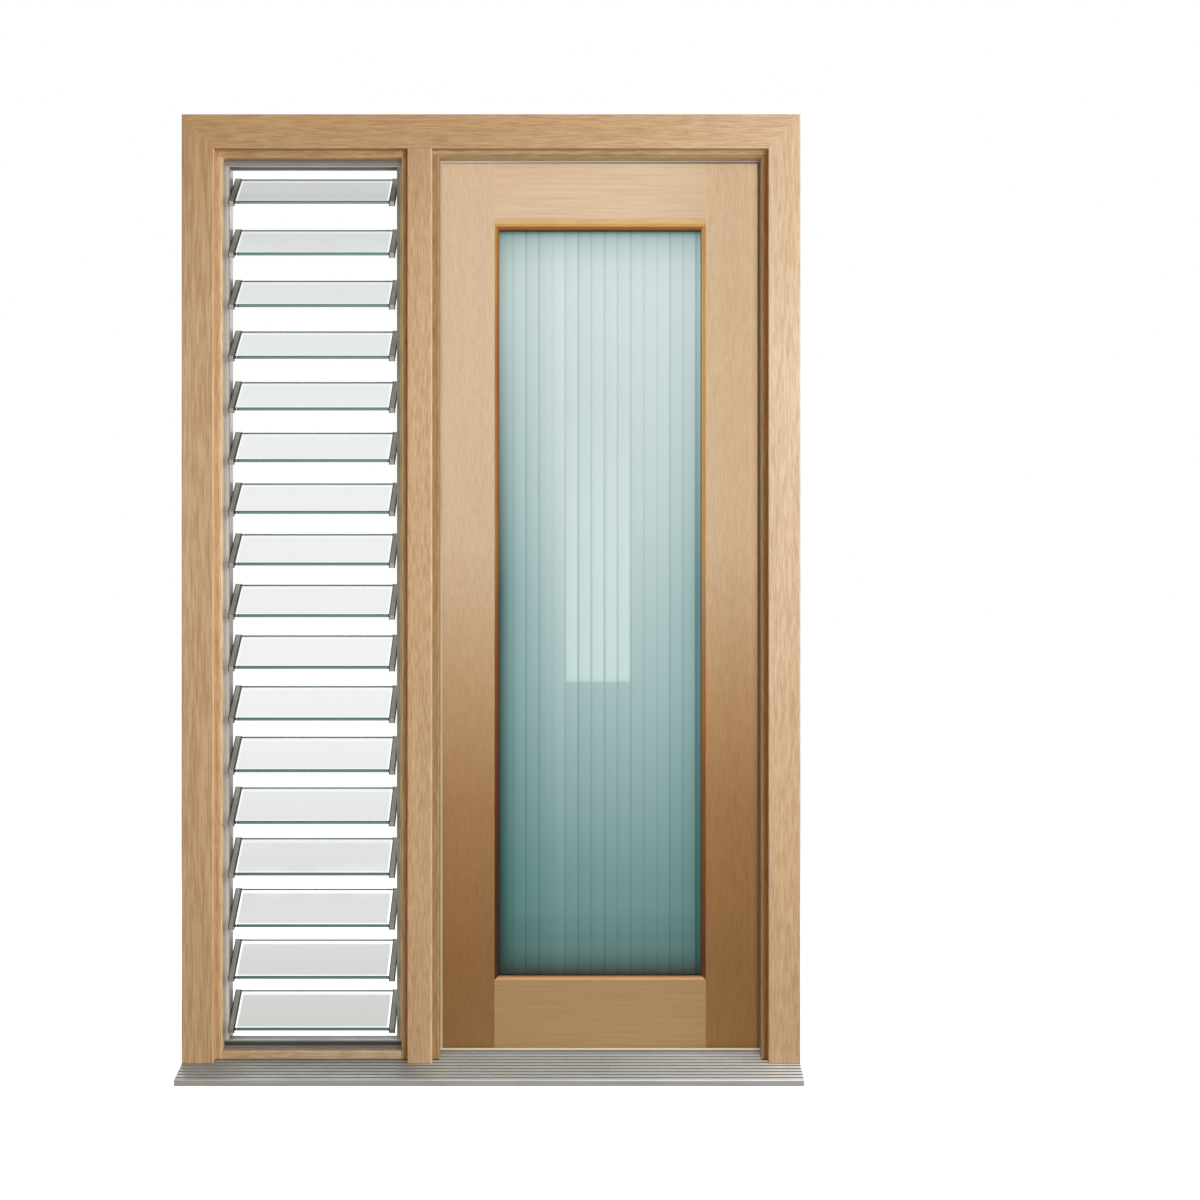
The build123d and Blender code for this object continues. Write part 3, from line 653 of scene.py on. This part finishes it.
def blade_glass():
    """Clear float glass with a green edge, where light has run the width of the blade."""
    glass = Finish("blade_glass_finish")
    low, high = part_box(BLADES[0])
    along = (0.0, cos(BLADE_TILT), sin(BLADE_TILT))
    edge_on = glass.add("ShaderNodeVectorMath", {0: glass.facing, 1: along}, output=1, operation="DOT_PRODUCT")
    edge = glass.fit(glass.math("ABSOLUTE", edge_on), 0.45, 0.85, smooth=True)
    front = glass.fit(edge_on, 0.0, -0.6)
    haze = glass.noise(glass.place, 14.0, 3.0)
    left = glass.math("SUBTRACT", glass.x, low.x)
    right = glass.math("SUBTRACT", high.x, glass.x)
    ends = glass.fit(glass.math("MINIMUM", left, right), BLADE_GRIP + 0.006, BLADE_GRIP + 0.003)
    depth = glass.math("SUBTRACT", glass.y, low.y)
    nosing = glass.fit(depth, 0.0034, 0.0026)
    margin = glass.math("MAXIMUM", glass.fit(depth, 0.0078, 0.0066), glass.fit(depth, 0.1060, 0.1072))
    tint = glass.scale_ramp(glass.math("MULTIPLY_ADD", haze, 0.06, glass.z), BLADE_TONES)
    clear = glass.mix(glass.math("MAXIMUM", ends, margin), tint, (1.0, 1.0, 1.0, 1))
    faces = glass.mix(nosing, clear, (0.045, 0.10, 0.09, 1))
    green = glass.mix(1.0, glass.scale_ramp(left, BLADE_END_LEFT), glass.scale_ramp(right, BLADE_END_RIGHT), "MULTIPLY")
    rim = glass.mix(front, (0.33, 0.33, 0.31, 1), green)
    glass.set(
        Base_Color=glass.mix(edge, faces, rim),
        Roughness=glass.fit(haze, 0.3, 0.7, 0.01, 0.05),
        Transmission_Weight=glass.fit(glass.math("MAXIMUM", edge, nosing), 0.0, 1.0, 1.0, 0.0),
        IOR=1.10,
    )
    return glass


BLADES = sorted(name for name in nodes if name.startswith("louvre_blade_"))
blade_glass().on(*BLADES)

# Metal and rubber


def metal(name, seed, shade, along, rough, shine=0.6):
    """Extruded or rolled metal, with fine lines along its run and a little staining."""
    skin = Finish(name)
    scale = {"X": (0.01, 1.0, 1.0), "Z": (1.0, 1.0, 0.01)}[along]
    lines = skin.noise(skin.stretch(skin.place, scale, (seed, seed, seed)), 300.0, 2.0)
    stain = skin.noise(skin.stretch(skin.place, (0.6, 1.0, 0.6), (seed, 0, 0)), 16.0, 4.0, 0.6)
    drawn = skin.mix(skin.fit(lines, 0.35, 0.65), shade, tuple(v * 0.88 for v in shade[:3]) + (1.0,))
    smooth = skin.fit(lines, 0.3, 0.7, rough - 0.05, rough + 0.05)
    skin.set(
        Base_Color=skin.mix(skin.fit(stain, 0.45, 0.75, 0.0, 0.5), drawn, (0.82, 0.81, 0.78, 1), "MULTIPLY"),
        Metallic=shine,
        Roughness=skin.math("ADD", smooth, skin.fit(stain, 0.4, 0.7, 0.0, 0.06)),
    )
    skin.bump(lines, 0.06, 0.0002)
    return skin


def sill_metal():
    """Painted shade in its grooves, painted highlights on its ribs and along the nose's top edge, brightest at the
    closed end.
    """
    skin = metal("sill_aluminium_finish", 1, colour(186, 185, 180), "X", 0.58, 0.5)
    drawn = skin.colour_link()
    rib_highlight = skin.scale_ramp(skin.x, [
        (-0.70, (0.84, 0.84, 0.84, 1)),
        (-0.19, (0.86, 0.86, 0.86, 1)),
        (-0.10, (1.56, 1.62, 1.67, 1)),
        (0.25, (1.60, 1.66, 1.72, 1)),
        (0.40, (1.80, 1.86, 1.94, 1)),
        (0.61, (2.15, 2.20, 2.28, 1)),
    ])
    groove_shade = skin.scale_ramp(skin.x, [
        (-0.70, (0.66, 0.65, 0.64, 1)),
        (-0.10, (0.36, 0.36, 0.35, 1)),
        (0.25, (0.34, 0.34, 0.33, 1)),
        (0.56, (0.28, 0.28, 0.28, 1)),
        (0.61, (0.10, 0.10, 0.10, 1)),
    ])
    brink_highlight = skin.scale_ramp(skin.x, [
        (-0.70, (0.95, 0.95, 0.95, 1)),
        (-0.19, (0.96, 0.96, 0.96, 1)),
        (-0.10, (1.35, 1.36, 1.36, 1)),
        (0.20, (1.45, 1.46, 1.46, 1)),
        (0.45, (1.80, 1.84, 1.88, 1)),
        (0.70, (1.75, 1.80, 1.85, 1)),
    ])
    sunk = skin.fit(skin.above_sill(), -0.2 * GROOVE_DEPTH, -0.6 * GROOVE_DEPTH)
    nose = skin.fit(skin.y, cad_box[0].y + 0.004, cad_box[0].y + 0.001)
    brink = skin.fit(skin.z, SILL_NOSE_HEIGHT - 0.0030, SILL_NOSE_HEIGHT - 0.0018)
    front = skin.mix(brink, (0.68, 0.68, 0.67, 1), brink_highlight)
    tone = skin.mix(nose, skin.mix(sunk, rib_highlight, groove_shade), front)
    skin.set(Base_Color=skin.mix(1.0, drawn, tone, "MULTIPLY"))
    return skin


def weather_bar_metal():
    """Grey strip with a painted highlight along its top."""
    skin = metal("weather_bar_finish", 2, colour(138, 138, 135), "X", 0.50)
    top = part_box("weather_bar")[1].z
    painted_highlight = skin.fit(skin.z, top - 0.0036, top - 0.0028)
    skin.set(Base_Color=skin.mix(painted_highlight, skin.colour_link(), colour(240, 224, 198)))
    return skin


sill_metal().on("sill")
weather_bar_metal().on("weather_bar")
def gallery_left_metal():
    """The lit post, in painted bands of light and shade: a shaded foot against the lining, then a bright face and a
    shaded lip.
    """
    skin = metal("gallery_left_finish", 3, colour(186, 186, 184), "Z", 0.45)
    low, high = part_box("gallery_left")
    bands = skin.scale_ramp(skin.math("SUBTRACT", skin.x, low.x), [
        (0.0, (0.92, 0.88, 0.80, 1)),
        (0.0065, (1.10, 1.06, 1.00, 1)),
        (0.0075, (1.24, 1.22, 1.18, 1)),
        (0.0105, (1.18, 1.17, 1.14, 1)),
        (0.0115, (0.72, 0.72, 0.70, 1)),
        (0.0130, (0.60, 0.60, 0.58, 1)),
    ])
    skin.set(Base_Color=skin.mix(1.0, skin.colour_link(), bands, "MULTIPLY"))
    return skin


def gallery_sill_metal():
    """The trough's front flange: a pale lip above a groove darkened with painted shade, and painted light on the walls
    behind it.
    """
    skin = metal("gallery_sill_finish", 8, colour(150, 150, 146), "X", 0.50)
    low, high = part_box("gallery_sill")
    bands = skin.scale_ramp(skin.math("SUBTRACT", skin.z, low.z), [
        (0.0, (0.72, 0.72, 0.71, 1)),
        (0.0062, (0.78, 0.78, 0.77, 1)),
        (0.0072, (0.20, 0.20, 0.20, 1)),
        (0.0155, (0.26, 0.26, 0.26, 1)),
        (0.0165, (1.05, 1.05, 1.04, 1)),
        (high.z - low.z, (1.10, 1.10, 1.09, 1)),
    ])
    inside = skin.fit(skin.y, low.y + 0.0060, low.y + 0.0080)
    skin.tone(1.0, skin.mix(inside, bands, (2.6, 2.6, 2.55, 1)))
    return skin


def gallery_right_metal():
    """The shaded post, with timber light on its edge beside the stop."""
    skin = metal("gallery_right_finish", 7, colour(146, 138, 121), "Z", 0.50)
    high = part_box("gallery_right")[1].x
    skin.tone(skin.fit(skin.x, high - 0.0068, high - 0.0056), (1.70, 1.55, 1.30, 1))
    return skin


def gallery_head_metal():
    """Head channel: brown shade under the stop, and light from the floor on its underside."""
    skin = metal("gallery_head_finish", 4, colour(150, 150, 147), "X", 0.50)
    low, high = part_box("gallery_head")
    skin.tone(1.0, skin.scale_ramp(skin.math("SUBTRACT", skin.z, low.z), [
        (0.0, (1.90, 1.90, 1.90, 1)),
        (0.0006, (1.90, 1.90, 1.90, 1)),
        (0.0014, (1.02, 1.02, 1.01, 1)),
        (0.0080, (1.00, 0.99, 0.96, 1)),
        (0.0115, (0.82, 0.76, 0.64, 1)),
        (high.z - low.z, (0.74, 0.64, 0.48, 1)),
    ]))
    return skin


def clip_metal(node, seed, middle):
    """A pressed blade holder, with painted shade along both of its long edges."""
    skin = metal(f"{node}_finish", seed, colour(164, 164, 160), "X", 0.50)
    aside = skin.math("ABSOLUTE", skin.math("SUBTRACT", skin.x, middle))
    edge_shade = skin.fit(aside, CLIP_HALF - 0.0026, CLIP_HALF - 0.0018)
    skin.set(Base_Color=skin.mix(edge_shade, skin.colour_link(), (0.08, 0.08, 0.075, 1)))
    return skin


gallery_left_metal().on("gallery_left")
gallery_sill_metal().on("gallery_sill")
gallery_right_metal().on("gallery_right")
gallery_head_metal().on("gallery_head")
clip_metal("louvre_clips_left", 5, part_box("louvre_clips_left")[1].x - CLIP_HALF).on("louvre_clips_left")
clip_metal("louvre_clips_right", 9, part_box("louvre_clips_right")[0].x + CLIP_HALF).on("louvre_clips_right")
HINGE_STEEL = metal("hinge_finish", 6, colour(176, 175, 172), "Z", 0.30, 1.0)
HINGE_STEEL.on("hinge_frame_plates", "hinge_door_plates", "hinge_pins")


def rubber():
    """Blue-grey seal across the head, paled with painted light, duller on the lock side and dark with painted shade on
    the hinge side.
    """
    skin = Finish("seal_rubber_finish")
    low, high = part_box("weather_seal")
    grain = skin.noise(skin.place, 900.0, 2.0)
    tone = skin.noise(skin.stretch(skin.place, (0.2, 1.0, 0.2)), 30.0)
    head = skin.mix(skin.fit(tone, 0.3, 0.7), colour(196, 220, 240), colour(206, 227, 244))
    lock = skin.mix(skin.fit(tone, 0.3, 0.7), colour(178, 162, 138), colour(190, 174, 150))
    hinge = skin.mix(skin.fit(tone, 0.3, 0.7), colour(92, 78, 54), colour(108, 92, 66))
    sides = skin.mix(skin.fit(skin.x, low.x, high.x), lock, hinge)
    skin.set(
        Base_Color=skin.mix(skin.fit(skin.z, high.z - 0.012, high.z - 0.008), sides, head),
        Roughness=skin.fit(grain, 0.3, 0.7, 0.6, 0.8),
        Specular_IOR_Level=0.3,
    )
    skin.bump(grain, 0.2, 0.0002)
    return skin


rubber().on("weather_seal")

# Countersunk screws in the hinge plates


def screw_finish():
    """Bright steel with a cross recess painted dark as shade in the middle of the head."""
    skin = Finish("hinge_screw_finish")
    turning = skin.noise(skin.place, 2600.0, 2.0)
    wide = skin.math("MAXIMUM", skin.math("ABSOLUTE", skin.x), skin.math("ABSOLUTE", skin.y))
    narrow = skin.math("MINIMUM", skin.math("ABSOLUTE", skin.x), skin.math("ABSOLUTE", skin.y))
    slot = skin.fit(narrow, 0.0006, 0.0004)
    recess = skin.math("MULTIPLY", slot, skin.fit(wide, 0.0026, 0.0023))
    steel = skin.mix(skin.fit(turning, 0.3, 0.7), colour(168, 167, 164), colour(192, 191, 188))
    skin.set(
        Base_Color=skin.mix(recess, steel, colour(40, 40, 40)),
        Metallic=skin.fit(recess, 0.0, 1.0, 1.0, 0.3),
        Roughness=skin.fit(turning, 0.3, 0.7, 0.22, 0.34),
    )
    skin.bump(skin.math("MULTIPLY", recess, -1.0), 0.8, 0.0008)
    return skin.material


def screw_mesh():
    """A low domed head with a rounded rim, in rings about its own axis."""
    mesh = bpy.data.meshes.new("hinge_screw")
    form = bmesh.new()
    rings = []
    for reach, rise in ((1.0, 0.0), (0.96, 0.55), (0.86, 0.85), (0.6, 1.0)):
        ring = []
        for i in range(SCREW_SIDES):
            turn = 2 * pi * i / SCREW_SIDES
            ring.append(form.verts.new((SCREW_RADIUS * reach * cos(turn), SCREW_RADIUS * reach * sin(turn),
                                        SCREW_RISE * rise)))
        rings.append(ring)
    for outer, inner in zip(rings, rings[1:]):
        for i in range(SCREW_SIDES):
            after = (i + 1) % SCREW_SIDES
            form.faces.new((outer[i], outer[after], inner[after], inner[i]))
    form.faces.new(rings[-1])
    form.to_mesh(mesh)
    form.free()
    mesh.materials.append(screw_finish())
    return mesh


def hinge_screws():
    """Four staggered screws in each plate of each hinge, on the faces that meet in the gap."""
    mesh = screw_mesh()
    frame_low, frame_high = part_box("hinge_frame_plates")
    door_low, door_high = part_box("hinge_door_plates")
    plate_middle = (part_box("stile_hinge")[1].y + door_low.y) / 2
    hinge_half = 0.05
    lowest = door_low.z + hinge_half
    highest = door_high.z - hinge_half
    leaf_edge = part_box("stile_hinge")[1].x
    frame_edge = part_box("jamb_right")[0].x
    for body, edge, turn in (("frame", frame_edge, -pi / 2), ("leaf", leaf_edge, pi / 2)):
        for level in (lowest, (lowest + highest) / 2, highest):
            for number, rise in enumerate(SCREW_HEIGHTS):
                head = bpy.data.objects.new(f"hinge_screw_{body}", mesh)
                aside = SCREW_STAGGER if number % 2 else -SCREW_STAGGER
                head.matrix_world = (
                    Matrix.Translation((edge, plate_middle + aside, level + rise)) @ Matrix.Rotation(turn, 4, "Y")
                )
                bpy.context.scene.collection.objects.link(head)
                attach(head, body)


hinge_screws()

# Studio: white surroundings, a pale floor, a soft key from the right


def seen_directly(tree):
    """1 for rays that show the surroundings: from the camera, off gloss or through glass."""
    path = tree.nodes.new("ShaderNodeLightPath")
    total = path.outputs["Is Camera Ray"]
    for name in ("Is Glossy Ray", "Is Transmission Ray"):
        larger = tree.nodes.new("ShaderNodeMath")
        larger.operation = "MAXIMUM"
        tree.links.new(total, larger.inputs[0])
        tree.links.new(path.outputs[name], larger.inputs[1])
        total = larger.outputs[0]
    return total


def surroundings():
    world = bpy.data.worlds.new("studio")
    bpy.context.scene.world = world
    world.use_nodes = True
    tree = world.node_tree
    strength = tree.nodes.new("ShaderNodeMapRange")
    tree.links.new(seen_directly(tree), strength.inputs["Value"])
    strength.inputs["To Min"].default_value = AMBIENT
    strength.inputs["To Max"].default_value = 1.0
    background = tree.nodes["Background"]
    background.inputs["Color"].default_value = (1, 1, 1, 1)
    tree.links.new(strength.outputs[0], background.inputs["Strength"])


def floor():
    """Pale floor, white where it is seen and darker where it throws light up."""
    half = 60.0
    mesh = bpy.data.meshes.new("studio_floor")
    corners = [(-half, -half, 0), (half, -half, 0), (half, half, 0), (-half, half, 0)]
    mesh.from_pydata(corners, [], [(0, 1, 2, 3)])
    ground = bpy.data.objects.new("studio_floor", mesh)
    bpy.context.scene.collection.objects.link(ground)
    material = bpy.data.materials.new("studio_floor_finish")
    material.use_nodes = True
    tree = material.node_tree
    tree.nodes.remove(tree.nodes["Principled BSDF"])
    direct = seen_directly(tree)
    shade = tree.nodes.new("ShaderNodeMix")
    shade.data_type = "RGBA"
    shade.inputs[6].default_value = (0.22, 0.22, 0.22, 1)
    shade.inputs[7].default_value = (0.75, 0.75, 0.75, 1)
    tree.links.new(direct, shade.inputs[0])
    matt = tree.nodes.new("ShaderNodeBsdfDiffuse")
    tree.links.new(shade.outputs[2], matt.inputs["Color"])
    glow = tree.nodes.new("ShaderNodeEmission")
    strength = tree.nodes.new("ShaderNodeMath")
    strength.operation = "MULTIPLY"
    strength.inputs[1].default_value = FLOOR_GLOW
    tree.links.new(direct, strength.inputs[0])
    tree.links.new(strength.outputs[0], glow.inputs["Strength"])
    both = tree.nodes.new("ShaderNodeAddShader")
    tree.links.new(matt.outputs[0], both.inputs[0])
    tree.links.new(glow.outputs[0], both.inputs[1])
    tree.links.new(both.outputs[0], tree.nodes["Material Output"].inputs["Surface"])
    mesh.materials.append(material)


def lamp(name, place, target, size, power, glossy=True):
    """A rectangular soft lamp, wide and tall as in size, out of sight itself."""
    light = bpy.data.lights.new(name, "AREA")
    light.shape = "RECTANGLE"
    light.size, light.size_y = size
    light.energy = power
    holder = bpy.data.objects.new(name, light)
    holder.location = place
    holder.rotation_euler = (Vector(target) - Vector(place)).to_track_quat("-Z", "Y").to_euler()
    holder.visible_camera = False
    holder.visible_transmission = False
    holder.visible_glossy = glossy
    bpy.context.scene.collection.objects.link(holder)
    return light


def strip_lamp():
    """A tall strip that shows as the bright patch in the pane, fading towards its top."""
    low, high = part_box("reeded_glass")
    eye = Vector(CAMERA_PLACE)
    reach = (2 * low.y - PATCH_LAMP_Y - eye.y) / (low.y - eye.y)
    first = low.x + REED_FIRST_VALLEY
    left, right = [eye.x + (first + reed * REED_PITCH - eye.x) * reach for reed in PATCH_REEDS]
    foot, top = [eye.z + (height - eye.z) * reach for height in PATCH_HEIGHTS]
    middle = ((left + right) / 2, PATCH_LAMP_Y, (foot + top) / 2)
    light = lamp("pane_strip", middle, (middle[0], 0, middle[2]), (right - left, top - foot), STRIP_POWER)
    light.use_nodes = True
    tree = light.node_tree
    where = tree.nodes.new("ShaderNodeNewGeometry")
    apart = tree.nodes.new("ShaderNodeSeparateXYZ")
    fade = tree.nodes.new("ShaderNodeMapRange")
    fade.inputs["From Min"].default_value = 1.0
    fade.inputs["From Max"].default_value = PATCH_FADE
    tree.links.new(where.outputs["Parametric"], apart.inputs[0])
    tree.links.new(apart.outputs[1], fade.inputs["Value"])
    tree.links.new(fade.outputs[0], tree.nodes["Emission"].inputs["Strength"])


def camera():
    lens = bpy.data.cameras.new("camera")
    lens.sensor_width = SENSOR
    lens.lens = SENSOR * CAMERA_DISTANCE / (PHOTO_PIXELS * PIXEL_ON_FACE)
    eye = bpy.data.objects.new("camera", lens)
    eye.location = CAMERA_PLACE
    eye.rotation_euler = (pi / 2, 0, 0)
    bpy.context.scene.collection.objects.link(eye)
    bpy.context.scene.camera = eye


surroundings()
floor()
lamp("key", (0.8, -3.1, 1.6), (0.0, 0.0, 1.1), (1.8, 1.8), KEY_POWER, glossy=False)
lamp("flank", (3.5, -1.6, 1.7), (0.0, 0.0, 1.1), (1.4, 1.8), FLANK_POWER)
lamp("back", (-0.8, 3.6, 2.4), (0.0, 0.0, 1.1), (2.2, 2.2), BACK_POWER)
lamp("side", (-3.4, 0.9, 1.8), (-0.7, 0.1, 1.1), (1.6, 1.6), SIDE_POWER)
strip_lamp()
camera()
bpy.context.scene.view_settings.view_transform = "Standard"
